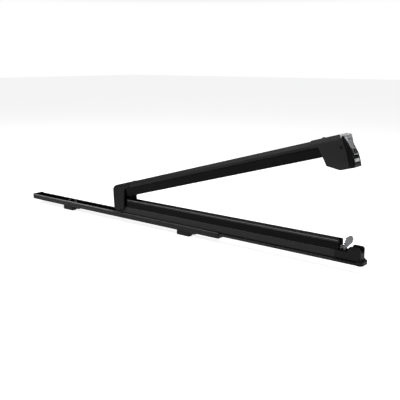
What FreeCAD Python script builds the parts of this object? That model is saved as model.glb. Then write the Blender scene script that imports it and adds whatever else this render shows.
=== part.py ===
"""Slide-out roof carrier bar for skis and snowboards, jaw open and carriage drawn out.

Millimetres, +Z up.  The bar runs along X, its latch end towards +X.  The origin lies midway
between the two feet, on the plane of their undersides.  The upper jaw is drawn in its own
frame: s along the jaw from the hinge axis, t square to it, y across.
"""
import FreeCAD, Part
import math
import os

V = FreeCAD.Vector

# --- driving dimensions -------------------------------------------------------------------
FOOT_SPACING = 410.0
FOOT_LENGTH = 38.0
FOOT_HEIGHT = 10.6
FOOT_PAD_THICK = 1.6
MOUNT_HOLE_R = 3.25          # clearance for the M6 roof-bar bolts
SLEEVE_R = 5.0

BASE_LEFT = -358.0
BASE_RIGHT = 308.0
BASE_WIDTH = 33.6
BASE_HEIGHT = 13.4
BASE_FLOOR = 1.6
BASE_WALL = 1.5
BASE_MOUTH = 22.0            # opening between the two lips
BASE_CHAMFER = 1.8           # sloped shoulder along each top edge
END_CAP_THICK = 3.0

CARRIAGE_LEFT = -22.0
RAIL_LEFT = -16.0
RAIL_RIGHT = 588.0
CARRIAGE_RIGHT = 647.0
FLANGE_WIDTH = 29.8
SKIRT_WIDTH = 30.4           # end skirt below the front housing
FLANGE_BOTTOM = 16.5
FLANGE_TOP = 22.2
NECK_WIDTH = 21.0
BODY_WIDTH = 25.4
BODY_BOTTOM = 24.9
BODY_TOP = 39.1

PAD_WIDTH = 24.0
LOWER_PAD_LEFT = 18.0
LOWER_PAD_RIGHT = 594.0
LOWER_PAD_TOP = 58.5

PIVOT_X = -2.0
PIVOT_Z = 29.7
SLIDE_TRAVEL = 325.0
REST_OPENING = 15.7          # degrees between the jaws as drawn

ARM_WIDTH = 26.0
ARM_START = 46.6
ARM_END = 563.9
ARM_BOTTOM = 50.6
ARM_SHOULDER = 54.8
ARM_TOP = 63.6
UPPER_PAD_BOTTOM = 29.3
UPPER_PAD_START = 32.5
UPPER_PAD_END = 589.5
LEG_INNER = 13.25            # half width inside the legs that straddle the carriage
LEG_OUTER = 16.3
PAD_ROOM = 12.4              # half width beside the pads inside the housings

HINGE_PIN_R = 2.5
RUNNING = 0.06               # radial clearance of a running fit
AXLE_S = 629.4
AXLE_T = 40.3
AXLE_R = 1.5
PAWL_S = 600.0
PAWL_T = 45.6
LOCK_T = 28.6
LOCK_BARREL_R = 5.4
LOCK_PLUG_R = 3.5
LOCK_FACE = 649.8

HOOK_PIVOT_X = 601.5
HOOK_PIVOT_Z = 31.5
HOOK_PIN_R = 2.0
HOOK_PLATE = 3.0

BASE_BOTTOM = FOOT_HEIGHT
BASE_TOP = BASE_BOTTOM + BASE_HEIGHT
CHANNEL_FLOOR = BASE_BOTTOM + BASE_FLOOR
FOOT_X = (-FOOT_SPACING / 2, FOOT_SPACING / 2)
SIDES = (-1, 1)

FOOT_SCREW_R = 2.0
FOOT_SCREW_TOP = 23.0        # top of the tall screw heads in the channel
FOOT_SCREW_REACH = 12.5      # screws either side of the mounting bolt

GLIDE_PEG_X = 296.0
GLIDE_PEG_Y = 10.5
GLIDE_PEG_R = 2.0

SMALL_SCREW_R = 1.5
STOW_LEFT = -172.0
STOP_LEFT = -7.0
STOP_RIGHT = 1.0

SLOT_MOUTH = 4.5             # half width of the pad slot
SLOT_HALF = 7.9
CAVITY_HALF = 8.0

SADDLE_LEFT = 616.0
HOUSING_END = 641.0
SADDLE_TOP = 50.6
END_FLANGE_LEFT = 636.0
HOUSING_SCREW_X = (573.0, 582.0)

HINGE_RIVET_S = 54.4
LATCH_RIVET_S = 589.5
RIVET_R = 1.6

KNUCKLE_R = 5.3
HINGE_BACK_S = -21.2         # lower back corner of the hinge housing
HINGE_BACK_T = 8.1
HINGE_BACK_SLOPE = 0.188
HINGE_SEAM = 1.5
STRIP_T = 50.2               # underside of the strips that reach out over the pads
BUSH_OUTER = 3.9

LATCH_START = ARM_END + 0.6
PLATE_EDGE = [(637.6, -1.2), (638.0, 28.0), (634.5, 47.0), (633.0, 66.0)]
LATCH_TOP = 65.2
PADDLE_HALF = 11.2

THROAT_HALF = 6.8
POCKET_S = 645.2             # inside face of the end wall, clear of the front housing
BOSS_HALF = 6.3
BOSS_TOP = 36.4

LINK_PIN_S = 631.0
LINK_PIN_T = 50.0
LINK_PIN_R = 1.2
LINK_SIDE = 4.4              # the link runs beside the pawl
LINK_THICK = 1.5
PAWL_STUD_T = PAWL_T + 5.4
PAWL_STUD_R = 1.0

HOOK_TOP = [(611.4, 67.8, 2.5), (616.6, 68.6, 2.0), (619.6, 61.8, 3.5), (618.0, 55.5, 6.0)]
HOOK_FOOT = [(611.2, 48.2, 3.0), (607.2, 43.4, 2.0)]

TOOTH_COUNT = 4
TOOTH_START = V(600.0, 0, 46.0)
TOOTH_END = V(606.4, 0, 66.4)
TOOTH_DEPTH = 2.9


# --- shape helpers ------------------------------------------------------------------------
def box(xs, ys, zs):
    return Part.makeBox(xs[1] - xs[0], ys[1] - ys[0], zs[1] - zs[0], V(xs[0], ys[0], zs[0]))


def corner_arc(before, corner, after, radius):
    """Tangent points and middle of the arc that rounds one corner of an outline."""
    to_before = (before - corner).normalize()
    to_after = (after - corner).normalize()
    half = to_before.getAngle(to_after) / 2
    reach = radius / math.tan(half)
    bisector = (to_before + to_after).normalize()
    centre = corner + bisector * (radius / math.sin(half))
    return corner + to_before * reach, centre - bisector * radius, corner + to_after * reach


def outline_face(points, place):
    """Face inside an outline of (u, v) or (u, v, corner radius) points."""
    corners = [place(p[0], p[1]) for p in points]
    radii = [p[2] if len(p) > 2 else 0.0 for p in points]
    edges = []
    stops = []
    for i, corner in enumerate(corners):
        if radii[i] > 0:
            before = corners[i - 1]
            after = corners[(i + 1) % len(corners)]
            stops.append(corner_arc(before, corner, after, radii[i]))
        else:
            stops.append((corner, None, corner))
    for i, (start, middle, end) in enumerate(stops):
        if middle is not None:
            edges.append(Part.Arc(start, middle, end).toShape())
        following = stops[(i + 1) % len(stops)][0]
        if end.distanceToPoint(following) > 1e-6:
            edges.append(Part.LineSegment(end, following).toShape())
    return Part.Face(Part.Wire(edges))


def side_plate(points, y0, y1):
    """Outline in X-Z (or s-t) given a thickness from y0 to y1."""
    face = outline_face(points, lambda u, v: V(u, y0, v))
    return face.extrude(V(0, y1 - y0, 0))


def bar(points, x0, x1):
    """Outline in Y-Z (or y-t) run along X (or s) from x0 to x1."""
    face = outline_face(points, lambda u, v: V(x0, u, v))
    return face.extrude(V(x1 - x0, 0, 0))


def mirrored(half):
    """Closed symmetric outline from the points of its +y half, listed bottom to top."""
    left = [(-p[0],) + tuple(p[1:]) for p in reversed(half)]
    return list(half) + left


def rod(centre, radius, y0, y1):
    """Round rod along Y through an (x, z) centre."""
    return Part.makeCylinder(radius, y1 - y0, V(centre[0], y0, centre[1]), V(0, 1, 0))


def post(x, y, radius, z0, z1):
    return Part.makeCylinder(radius, z1 - z0, V(x, y, z0))


def tube(centre, inner, outer, y0, y1):
    return rod(centre, outer, y0, y1).cut(rod(centre, inner, y0, y1))


def dome(x, y, z, radius, height):
    """Low rivet head standing on z."""
    ball_r = (radius ** 2 + height ** 2) / (2 * height)
    ball = Part.makeSphere(ball_r, V(x, y, z + height - ball_r))
    return ball.common(post(x, y, radius + 1, z, z + height + 1))


def coil(centre, radius, wire_r, y0, y1, turns):
    """Torsion spring coil wound along Y."""
    helix = Part.makeHelix((y1 - y0) / turns, y1 - y0, radius)
    helix.rotate(V(0, 0, 0), V(1, 0, 0), -90)
    helix.translate(V(centre[0], y0, centre[1]))
    start = helix.Edges[0].valueAt(helix.Edges[0].FirstParameter)
    tangent = helix.Edges[0].tangentAt(helix.Edges[0].FirstParameter)
    ring = Part.Wire(Part.makeCircle(wire_r, start, tangent))
    return Part.Wire(helix.Edges).makePipeShell([ring], True, True)


def on_arm(shape):
    """Carry a shape from the jaw's own frame to its place with the jaw open at rest."""
    placed = shape.copy()
    placed.rotate(V(0, 0, 0), V(0, 1, 0), -REST_OPENING)
    placed.translate(V(PIVOT_X, 0, PIVOT_Z))
    return placed


def group(shapes):
    return Part.makeCompound(shapes)


def pan_screw(x, y, seat, head_r, head_h, shank_r, tip):
    """Screw standing on seat, driven down to tip, with a hexagon socket."""
    head = post(x, y, head_r, seat, seat + head_h)
    top_edges = [e for e in head.Edges if abs(e.CenterOfMass.z - seat - head_h) < 1e-6 and e.Closed]
    head = head.makeFillet(head_h * 0.35, top_edges)
    shank = post(x, y, shank_r, tip, seat)
    socket = hexagon(x, y, head_r * 0.45, seat + head_h * 0.35, seat + head_h)
    return head.fuse(shank).cut(socket)


def hexagon(x, y, radius, z0, z1):
    angles = [math.radians(60 * i) for i in range(7)]
    ring = [V(x + radius * math.cos(a), y + radius * math.sin(a), z0) for a in angles]
    return Part.Face(Part.makePolygon(ring)).extrude(V(0, 0, z1 - z0))


# --- base: fixed to the roof bars ---------------------------------------------------------


def foot_screw_places():
    return [(x + side * FOOT_SCREW_REACH, 0.0) for x in FOOT_X for side in SIDES]


def base_rail():
    half = BASE_WIDTH / 2
    inner = half - BASE_WALL
    groove_low = BASE_BOTTOM + 4.6
    groove_high = BASE_BOTTOM + 6.0
    groove_depth = 0.5
    lip_under = BASE_TOP - 1.4
    section = mirrored([
        (half - 0.6, BASE_BOTTOM, 0.5), (half, BASE_BOTTOM + 0.6, 0.5),
        (half, groove_low), (half - groove_depth, groove_low + 0.3),
        (half - groove_depth, groove_high - 0.3), (half, groove_high),
        (half, BASE_TOP - BASE_CHAMFER, 0.4), (half - BASE_CHAMFER, BASE_TOP, 0.4),
        (BASE_MOUTH / 2, BASE_TOP, 0.4), (BASE_MOUTH / 2, lip_under),
        (inner, lip_under), (inner, CHANNEL_FLOOR, 0.6)])
    rail = bar(section, BASE_LEFT + END_CAP_THICK, BASE_RIGHT)
    for x in FOOT_X:
        rail = rail.cut(post(x, 0, MOUNT_HOLE_R, BASE_BOTTOM - 1, CHANNEL_FLOOR + 1))
    for x, y in foot_screw_places():
        rail = rail.cut(post(x, y, FOOT_SCREW_R + 0.2, BASE_BOTTOM - 1, CHANNEL_FLOOR + 1))
    for x, _ in (stow_screw_place(), stop_screw_place()):
        rail = rail.cut(post(x, 0, SMALL_SCREW_R, BASE_BOTTOM - 1, CHANNEL_FLOOR + 1))
    for side in SIDES:
        y = side * GLIDE_PEG_Y
        rail = rail.cut(post(GLIDE_PEG_X, y, GLIDE_PEG_R, BASE_BOTTOM - 1, CHANNEL_FLOOR + 1))
    return rail


def base_end_cap():
    half = BASE_WIDTH / 2
    lip = BASE_TOP + 1.3
    left = BASE_LEFT
    plate = bar(mirrored([(half, BASE_BOTTOM, 0.8), (half, lip, 1.6)]), left, left + END_CAP_THICK)
    front_edges = [e for e in plate.Edges if all(abs(v.X - left) < 1e-6 for v in e.Vertexes)]
    plate = plate.makeChamfer(0.6, front_edges)
    inner = half - BASE_WALL - 0.25
    plug = bar(mirrored([(inner, CHANNEL_FLOOR + 0.05, 0.6), (inner, BASE_TOP - 1.8)]),
               left + END_CAP_THICK, left + END_CAP_THICK + 3.2)
    hollow = box((left + END_CAP_THICK, left + 9), (-inner + 1.6, inner - 1.6),
                 (CHANNEL_FLOOR + 1.6, BASE_TOP))
    return plate.fuse(plug.cut(hollow))


def base_front_glide():
    """Nylon bed at the mouth of the base rail that carries the sliding rail."""
    half = BASE_WIDTH / 2 - BASE_WALL - 0.7
    bed_top = FLANGE_BOTTOM - 0.35
    bed = box((BASE_RIGHT - 24, BASE_RIGHT), (-half, half), (CHANNEL_FLOOR, bed_top))
    trough = box((BASE_RIGHT - 25, BASE_RIGHT + 1), (-7.5, 7.5), (CHANNEL_FLOOR + 1.4, bed_top + 1))
    bed = bed.cut(trough)
    for side in SIDES:
        peg = post(GLIDE_PEG_X, side * GLIDE_PEG_Y, GLIDE_PEG_R, BASE_BOTTOM + 0.1, CHANNEL_FLOOR)
        bed = bed.fuse(peg)
    return bed


def foot(x):
    half_length = FOOT_LENGTH / 2
    half = BASE_WIDTH / 2
    block = box((x - half_length, x + half_length), (-half, half), (FOOT_PAD_THICK, FOOT_HEIGHT))
    upright = [e for e in block.Edges if abs(e.tangentAt(e.FirstParameter).z) > 0.9]
    block = block.makeFillet(2.0, upright)
    relief = box((x - half_length - 1, x + half_length + 1), (-3.0, 3.0), (0, FOOT_PAD_THICK + 0.8))
    block = block.cut(relief)
    block = block.cut(post(x, 0, SLEEVE_R, 0, FOOT_HEIGHT + 1))
    for side in SIDES:
        hole = post(x + side * FOOT_SCREW_REACH, 0, FOOT_SCREW_R, FOOT_PAD_THICK + 2.5, FOOT_HEIGHT + 1)
        block = block.cut(hole)
    return block


def foot_pads():
    pads = []
    for x in FOOT_X:
        half_length = FOOT_LENGTH / 2 - 0.8
        half = BASE_WIDTH / 2 - 0.8
        pad = box((x - half_length, x + half_length), (-half, half), (0, FOOT_PAD_THICK))
        upright = [e for e in pad.Edges if abs(e.tangentAt(e.FirstParameter).z) > 0.9]
        pad = pad.makeFillet(1.8, upright)
        pads.append(pad.cut(post(x, 0, SLEEVE_R, -1, FOOT_PAD_THICK + 1)))
    return group(pads)


def foot_sleeves():
    """Steel sleeves that take the clamping load of the roof-bar bolts."""
    sleeves = []
    for x in FOOT_X:
        outer = post(x, 0, SLEEVE_R, 0, FOOT_HEIGHT)
        sleeves.append(outer.cut(post(x, 0, MOUNT_HOLE_R, -1, FOOT_HEIGHT + 1)))
    return group(sleeves)


def foot_screws():
    tip = FOOT_PAD_THICK + 3.0
    screws = []
    for x, y in foot_screw_places():
        head = post(x, y, 3.9, CHANNEL_FLOOR, FOOT_SCREW_TOP)
        socket = hexagon(x, y, 2.0, FOOT_SCREW_TOP - 3.0, FOOT_SCREW_TOP + 1)
        screws.append(head.cut(socket).fuse(post(x, y, FOOT_SCREW_R, tip, CHANNEL_FLOOR)))
    return group(screws)


def stow_screw_place():
    return STOW_LEFT + 5.0, 0.0


def stow_spring():
    """Bent spring leaf that holds the carriage when it is pushed home."""
    low = CHANNEL_FLOOR
    thick = 0.8
    half_width = 3.2
    top = [(0, thick), (11, thick), (24, 7.2), (29, 7.4), (34, 4.2)]
    under = [(x, z - thick) for x, z in reversed(top)]
    leaf = side_plate([(STOW_LEFT + x, low + z) for x, z in top + under], -half_width, half_width)
    return leaf.cut(post(stow_screw_place()[0], 0, SMALL_SCREW_R, low - 1, low + 2))


def stow_spring_screw():
    x, y = stow_screw_place()
    return pan_screw(x, y, CHANNEL_FLOOR + 0.8, 3.4, 2.2, SMALL_SCREW_R, BASE_BOTTOM + 0.1)


def stop_screw_place():
    return (STOP_LEFT + STOP_RIGHT) / 2, 0.0


def travel_stop():
    half = BASE_WIDTH / 2 - BASE_WALL - 0.7
    block = box((STOP_LEFT, STOP_RIGHT), (-half, half), (CHANNEL_FLOOR, FLANGE_BOTTOM - 0.4))
    return block.cut(post(stop_screw_place()[0], 0, SMALL_SCREW_R, 0, 30))


def travel_stop_screw():
    x, y = stop_screw_place()
    return pan_screw(x, y, FLANGE_BOTTOM - 0.4, 3.4, 2.2, SMALL_SCREW_R, BASE_BOTTOM + 0.1)


# --- carriage: slides in the base ---------------------------------------------------------


def rail_section():
    flange = FLANGE_WIDTH / 2
    neck = NECK_WIDTH / 2
    body = BODY_WIDTH / 2
    outer = [
        (CAVITY_HALF, FLANGE_BOTTOM), (flange, FLANGE_BOTTOM, 0.5), (flange, FLANGE_TOP, 0.5),
        (neck, FLANGE_TOP), (neck, BODY_BOTTOM), (body, BODY_BOTTOM, 0.6),
        (body, BODY_TOP, 1.2), (SLOT_MOUTH, BODY_TOP), (SLOT_MOUTH, BODY_TOP - 1.5),
        (SLOT_HALF, BODY_TOP - 1.5), (SLOT_HALF, BODY_TOP - 3.1)]
    inner = [(-11.0, 34.4), (-11.0, 26.5), (-CAVITY_HALF, 26.5), (-CAVITY_HALF, FLANGE_BOTTOM)]
    left = [(-p[0],) + tuple(p[1:]) for p in reversed(outer[1:])]
    right_inner = [(-y, z) for y, z in reversed(inner[:-1])]
    return outer + left + list(reversed(inner)) + list(reversed(right_inner))


def slide_rail():
    rail = bar(rail_section(), RAIL_LEFT, RAIL_RIGHT)
    return rail.cut(rod((PIVOT_X, PIVOT_Z), HINGE_PIN_R, -20, 20))


def rail_rear_cap():
    flange = FLANGE_WIDTH / 2
    shoe = bar([(-flange, FLANGE_BOTTOM, 0.5), (flange, FLANGE_BOTTOM, 0.5),
                (flange, FLANGE_TOP, 0.5), (-flange, FLANGE_TOP, 0.5)], CARRIAGE_LEFT, RAIL_LEFT)
    body = BODY_WIDTH / 2
    plate = bar([(-body, BODY_BOTTOM), (body, BODY_BOTTOM), (body, BODY_TOP, 1.2),
                 (-body, BODY_TOP, 1.2)], RAIL_LEFT - 1.5, RAIL_LEFT)
    neck = box((RAIL_LEFT - 1.5, RAIL_LEFT), (-NECK_WIDTH / 2, NECK_WIDTH / 2),
               (FLANGE_TOP - 1, BODY_BOTTOM + 1))
    plug = box((RAIL_LEFT - 1, RAIL_LEFT + 6), (-10.9, 10.9), (30.6, 34.3))
    tunnel = box((CARRIAGE_LEFT - 1, RAIL_LEFT + 1), (-CAVITY_HALF, CAVITY_HALF),
                 (FLANGE_BOTTOM - 1, FOOT_SCREW_TOP + 0.6))
    return shoe.fuse([plate, neck, plug]).cut(tunnel)


def glide_shoes():
    right = STOP_LEFT - 0.4
    shoes = []
    for side in SIDES:
        ys = sorted((side * 8.6, side * 14.6))
        shoes.append(box((CARRIAGE_LEFT + 2, right), ys, (CHANNEL_FLOOR + 0.3, FLANGE_BOTTOM)))
    return group(shoes)


def stow_catch():
    """Nylon catch inside the rail that the spring leaf holds when stowed."""
    left = STOW_LEFT + SLIDE_TRAVEL + 18.0
    low = 20.4
    body = box((left, left + 9.0), (-CAVITY_HALF, CAVITY_HALF), (low, 25.6))
    return body.makeChamfer(1.2, [e for e in body.Edges if e.CenterOfMass.z < low + 0.1
                                  and abs(e.CenterOfMass.y) < 1e-6])


def pad_section(bottom, top, root_side):
    """Hollow rubber profile; root_side is -1 with the slot root below and +1 with it above."""
    half = PAD_WIDTH / 2
    mouth = SLOT_MOUTH - 0.2
    head = SLOT_HALF - 0.3
    face = top if root_side < 0 else bottom
    seat = bottom if root_side < 0 else top
    out = -root_side
    rows = [
        (head, seat - out * 2.9), (head, seat - out * 1.7), (mouth, seat - out * 1.7),
        (mouth, seat), (half, seat, 0.8), (half, face - out * 3.2),
        (half - 0.9, face - out * 2.6), (half - 0.9, face - out * 1.7),
        (half - 0.2, face - out * 1.2), (half - 2.2, face, 0.8)]
    return mirrored(rows)


def pad_hollows(bottom, top, x0, x1):
    """Two long air chambers that let the pad give."""
    cells = []
    for side in SIDES:
        ys = sorted((side * 1.2, side * (PAD_WIDTH / 2 - 2.6)))
        cells.append(box((x0 - 1, x1 + 1), ys, (bottom + 4.0, top - 4.6)))
    return group(cells)


def lower_pad():
    pad = bar(pad_section(BODY_TOP, LOWER_PAD_TOP, -1), LOWER_PAD_LEFT, LOWER_PAD_RIGHT)
    pad = pad.cut(pad_hollows(BODY_TOP, LOWER_PAD_TOP, LOWER_PAD_LEFT, LOWER_PAD_RIGHT))
    heel_slot = box((LOWER_PAD_LEFT - 1, LOWER_PAD_LEFT + 39), (-8.7, 8.7), (44.6, 70.0))
    root_end = box((RAIL_RIGHT - 0.3, LOWER_PAD_RIGHT + 1), (-9, 9), (30.0, BODY_TOP))
    hook_notch = box((RAIL_RIGHT - 0.3, LOWER_PAD_RIGHT + 1), (-4.2, 4.2), (30.0, 70.0))
    return pad.cut(heel_slot).cut(root_end).cut(hook_notch)


def front_housing():
    flange = FLANGE_WIDTH / 2
    neck = NECK_WIDTH / 2
    body = BODY_WIDTH / 2
    section = mirrored([
        (flange, FLANGE_BOTTOM, 0.5), (flange, FLANGE_TOP, 0.5), (neck, FLANGE_TOP),
        (neck, BODY_BOTTOM), (body, BODY_BOTTOM, 0.6), (body, BODY_TOP, 1.2)])
    block = bar(section, RAIL_RIGHT, HOUSING_END - 3)
    cheeks = side_plate([
        (SADDLE_LEFT, BODY_BOTTOM), (HOUSING_END, BODY_BOTTOM), (HOUSING_END, SADDLE_TOP, 9.0),
        (SADDLE_LEFT, SADDLE_TOP, 6.0)], -body, body)
    nose = bar(mirrored([(body, BODY_BOTTOM), (body, SADDLE_TOP, 4.6)]), RAIL_RIGHT, HOUSING_END + 1)
    plan = Part.Face(Part.Wire(plan_edges(RAIL_RIGHT, HOUSING_END, body, 5.0)))
    plan = plan.extrude(V(0, 0, 60))
    saddle = cheeks.common(nose).common(plan)
    wide = SKIRT_WIDTH / 2
    skirt = bar(mirrored([(wide, FLANGE_BOTTOM - 0.4, 0.8), (wide, FLANGE_TOP + 0.6, 0.8),
                          (LEG_INNER, 26.4), (4.0, 26.4)]), END_FLANGE_LEFT, CARRIAGE_RIGHT)
    skirt_plan = Part.Face(Part.Wire(plan_edges(END_FLANGE_LEFT - 9, CARRIAGE_RIGHT, wide, 8.0)))
    skirt = skirt.common(skirt_plan.extrude(V(0, 0, 60)))
    step = box((HOUSING_END, CARRIAGE_RIGHT + 1), (-20, 20), (FLANGE_TOP + 1.2, 60))
    housing = block.fuse([saddle, skirt.cut(step)])
    channel = bar(mirrored([(6.4, BODY_TOP, 4.0), (9.6, 60.0)]), RAIL_RIGHT - 1, HOUSING_END + 5)
    hook_well = box((RAIL_RIGHT - 1, SADDLE_LEFT + 5), (-4.6, 7.6), (26.4, 60))
    pin_hole = rod((HOOK_PIVOT_X, HOOK_PIVOT_Z), HOOK_PIN_R, -10.2, 20)
    tongue = box((RAIL_RIGHT - 20, RAIL_RIGHT), (-7.8, 7.8), (20.6, 26.3))
    slot = box((RAIL_RIGHT, SADDLE_LEFT), (-9, 9), (BODY_TOP - 0.01, 60))
    housing = housing.cut(channel).cut(hook_well).cut(pin_hole).cut(slot).fuse(tongue)
    for x in HOUSING_SCREW_X:
        housing = housing.cut(post(x, 0, SMALL_SCREW_R, 10, 25.0))
    return housing.removeSplitter()


def plan_edges(x0, x1, half, radius):
    """Plan outline with its two +X corners rounded."""
    points = [(x0, -half), (x1, -half, radius), (x1, half, radius), (x0, half)]
    return outline_face(points, lambda u, v: V(u, v, 0)).OuterWire.Edges


def housing_screws():
    """Screws from below that hold the housing's tongue to a clamp plate in the rail."""
    screws = []
    for x in HOUSING_SCREW_X:
        head = post(x, 0, 3.0, 18.4, 20.6)
        shank = post(x, 0, SMALL_SCREW_R, 20.6, 24.9)
        socket = hexagon(x, 0, 1.4, 18.4, 19.8)
        screws.append(head.fuse(shank).cut(socket))
    return group(screws)


def hinge_pin():
    centre = (PIVOT_X, PIVOT_Z)
    pin = rod(centre, HINGE_PIN_R, -LEG_OUTER - 0.3, LEG_OUTER + 2.0)
    head = rod(centre, 3.7, -LEG_OUTER - 1.5, -LEG_OUTER - 0.3)
    rim = [e for e in head.Edges if e.Closed and e.CenterOfMass.y < -LEG_OUTER - 1.4]
    head = head.makeFillet(0.6, rim)
    socket = rod(centre, 1.5, -LEG_OUTER - 1.6, -LEG_OUTER)
    return pin.fuse(head).cut(socket)


def pin_clip():
    """Push-on clip on the plain end of the hinge pin."""
    return tube((PIVOT_X, PIVOT_Z), HINGE_PIN_R, 4.2, LEG_OUTER + 0.3, LEG_OUTER + 1.2)


def hinge_washers():
    centre = (PIVOT_X, PIVOT_Z)
    body = BODY_WIDTH / 2
    washers = []
    for side in SIDES:
        ys = sorted((side * body, side * (LEG_INNER - 0.1)))
        washers.append(tube(centre, HINGE_PIN_R + 0.05, 4.6, ys[0], ys[1]))
    return group(washers)


def ratchet_pin():
    return rod((HOOK_PIVOT_X, HOOK_PIVOT_Z), HOOK_PIN_R, -10.2, BODY_WIDTH / 2 - 0.4)


def ratchet_spring():
    return coil((HOOK_PIVOT_X, HOOK_PIVOT_Z), 3.0, 0.4, 4.0, 6.9, 3)


# --- upper jaw ----------------------------------------------------------------------------
def crown(half, shoulder, top, bottom):
    """Section of the jaw's back: upright sides, long chamfers and a narrow flat top."""
    return [(half, bottom), (half, shoulder, 3.0), (half - 4.6, top - 1.6, 5.0), (half - 8.6, top, 3.0)]


def upper_arm():
    half = ARM_WIDTH / 2
    shell = bar(mirrored(crown(half, ARM_SHOULDER, ARM_TOP, ARM_BOTTOM)), ARM_START, ARM_END)
    slot_mouth = box((ARM_START - 1, ARM_END + 1), (-SLOT_MOUTH, SLOT_MOUTH),
                     (ARM_BOTTOM - 1, ARM_BOTTOM + 2))
    slot = box((ARM_START - 1, ARM_END + 1), (-SLOT_HALF, SLOT_HALF), (ARM_BOTTOM + 1.5, ARM_BOTTOM + 3.1))
    cavity = bar(mirrored(arm_cavity(0.0)), ARM_START - 1, ARM_END + 1)
    arm = shell.cut(slot_mouth).cut(slot).cut(cavity)
    rivet_hole = post(HINGE_RIVET_S, 0, RIVET_R, ARM_TOP - 4, ARM_TOP + 1)
    return on_arm(arm.cut(rivet_hole))


def arm_cavity(gap):
    """Hollow of the jaw extrusion; a plug for it is smaller all round by gap."""
    low = ARM_BOTTOM + 4.7 + gap
    return [(10.4 - gap, low), (10.4 - gap, low + 1.2), (6.4 - gap, ARM_TOP - 2.0 - gap)]


def rivet(s, seat):
    head = dome(s, 0, seat, 4.2, 1.8)
    return on_arm(head.fuse(post(s, 0, RIVET_R, seat - 4.5, seat)))


def jaw_section(top, bottom):
    """Housing section: as wide as the arm at its back and flared out to the straddling legs."""
    half = ARM_WIDTH / 2 + 0.4
    legs = [(LEG_OUTER, bottom), (LEG_OUTER, 10.0, 20.0), (half, 50.0, 20.0)]
    back = crown(half, ARM_SHOULDER + 0.6, top, ARM_BOTTOM)[1:]
    return mirrored(legs + back)


def inner_section(step_t):
    """Room between the legs: wide below step_t for the carriage, then just clear of the pads."""
    return mirrored([(LEG_INNER, -20.0), (LEG_INNER, step_t), (PAD_ROOM, step_t + 1.0), (PAD_ROOM, 51.5),
                     (7.4, 60.2), (7.4, 70.0)])


def plug_for_arm(s0, s1):
    return bar(mirrored(arm_cavity(0.15)), s0, s1)


def hinge_housing():
    outer = side_plate(list(reversed(hinge_outline())), -20, 20)
    outer = outer.common(bar(jaw_section(ARM_TOP + 0.4, -10.0), -30, 60))
    low = -20.0
    back = HINGE_BACK_S + (low - HINGE_BACK_T) * HINGE_BACK_SLOPE
    plan = outline_face([(90, -18), (90, 18), (back, 18, 7.0), (back, -18, 7.0)], lambda u, v: V(u, v, low))
    outer = outer.common(plan.extrude(V(HINGE_BACK_SLOPE * 100, 0, 100)))
    inside = side_plate([(-18.6, 0.0), (-18.6, 8.6, 1.5), (-9.6, 54.0, 8.0), (2.0, 60.0, 4.0),
                         (24.0, 60.0, 3.0), (24.0, STRIP_T - 0.01), (60.0, STRIP_T - 0.01), (60.0, -20.0),
                         (-18.6, -20.0)], -LEG_INNER, LEG_INNER)
    inside = inside.common(bar(inner_section(18.0), -30, 60))
    thick_walls = [box((-30, 29.0), sorted((side * 11.0, side * 20)), (30, 70)) for side in SIDES]
    inside = inside.cut(group(thick_walls))
    shell = outer.cut(inside).cut(rod((0, 0), BUSH_OUTER, -20, 20))
    shell = shell.fuse(plug_for_arm(ARM_START - 6, ARM_START + 24))
    shell = shell.cut(post(HINGE_RIVET_S, 0, RIVET_R, 50, 70))
    return on_arm(shell)


def hinge_outline():
    """Side outline, clockwise from the lower back corner."""
    top = 64.4
    seam = ARM_START - HINGE_SEAM
    top_back = HINGE_BACK_S + (top - HINGE_BACK_T) * HINGE_BACK_SLOPE
    return [(HINGE_BACK_S, HINGE_BACK_T, 2.5), (top_back, top, 9.0), (seam, top), (seam, STRIP_T),
            (27.4, STRIP_T, 4.0), (15.6, 3.3, 4.0), (6.0, -KNUCKLE_R, 4.0), (-1.4, -KNUCKLE_R, 4.5)]


def hinge_bushes():
    bushes = []
    for side in SIDES:
        ys = sorted((side * LEG_INNER, side * LEG_OUTER))
        bushes.append(tube((PIVOT_X, PIVOT_Z), HINGE_PIN_R + RUNNING, BUSH_OUTER, ys[0], ys[1]))
    return group(bushes)


def upper_pad():
    top = ARM_BOTTOM
    pad = bar(pad_section(UPPER_PAD_BOTTOM, top - 0.2, 1), UPPER_PAD_START, UPPER_PAD_END)
    pad = pad.cut(pad_hollows(UPPER_PAD_BOTTOM + 0.6, top, UPPER_PAD_START, UPPER_PAD_END))
    under_hinge = (UPPER_PAD_START - 1, ARM_START + 0.2)
    under_latch = (ARM_END - 0.2, UPPER_PAD_END + 1)
    trims = [box(span, (-20, 20), (STRIP_T - 0.05, top + 5)) for span in (under_hinge, under_latch)]
    return on_arm(pad.cut(group(trims)))


def upper_heel():
    """Rubber tongue under the hinge end of the jaw pad; it drops into the lower pad's slot."""
    points = [(UPPER_PAD_START, 15.9, 1.0), (43.6, 15.9, 1.6), (44.2, 25.0, 6.0), (49.0, UPPER_PAD_BOTTOM),
              (UPPER_PAD_START, UPPER_PAD_BOTTOM)]
    return on_arm(side_plate(points, -8.0, 8.0))


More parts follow.
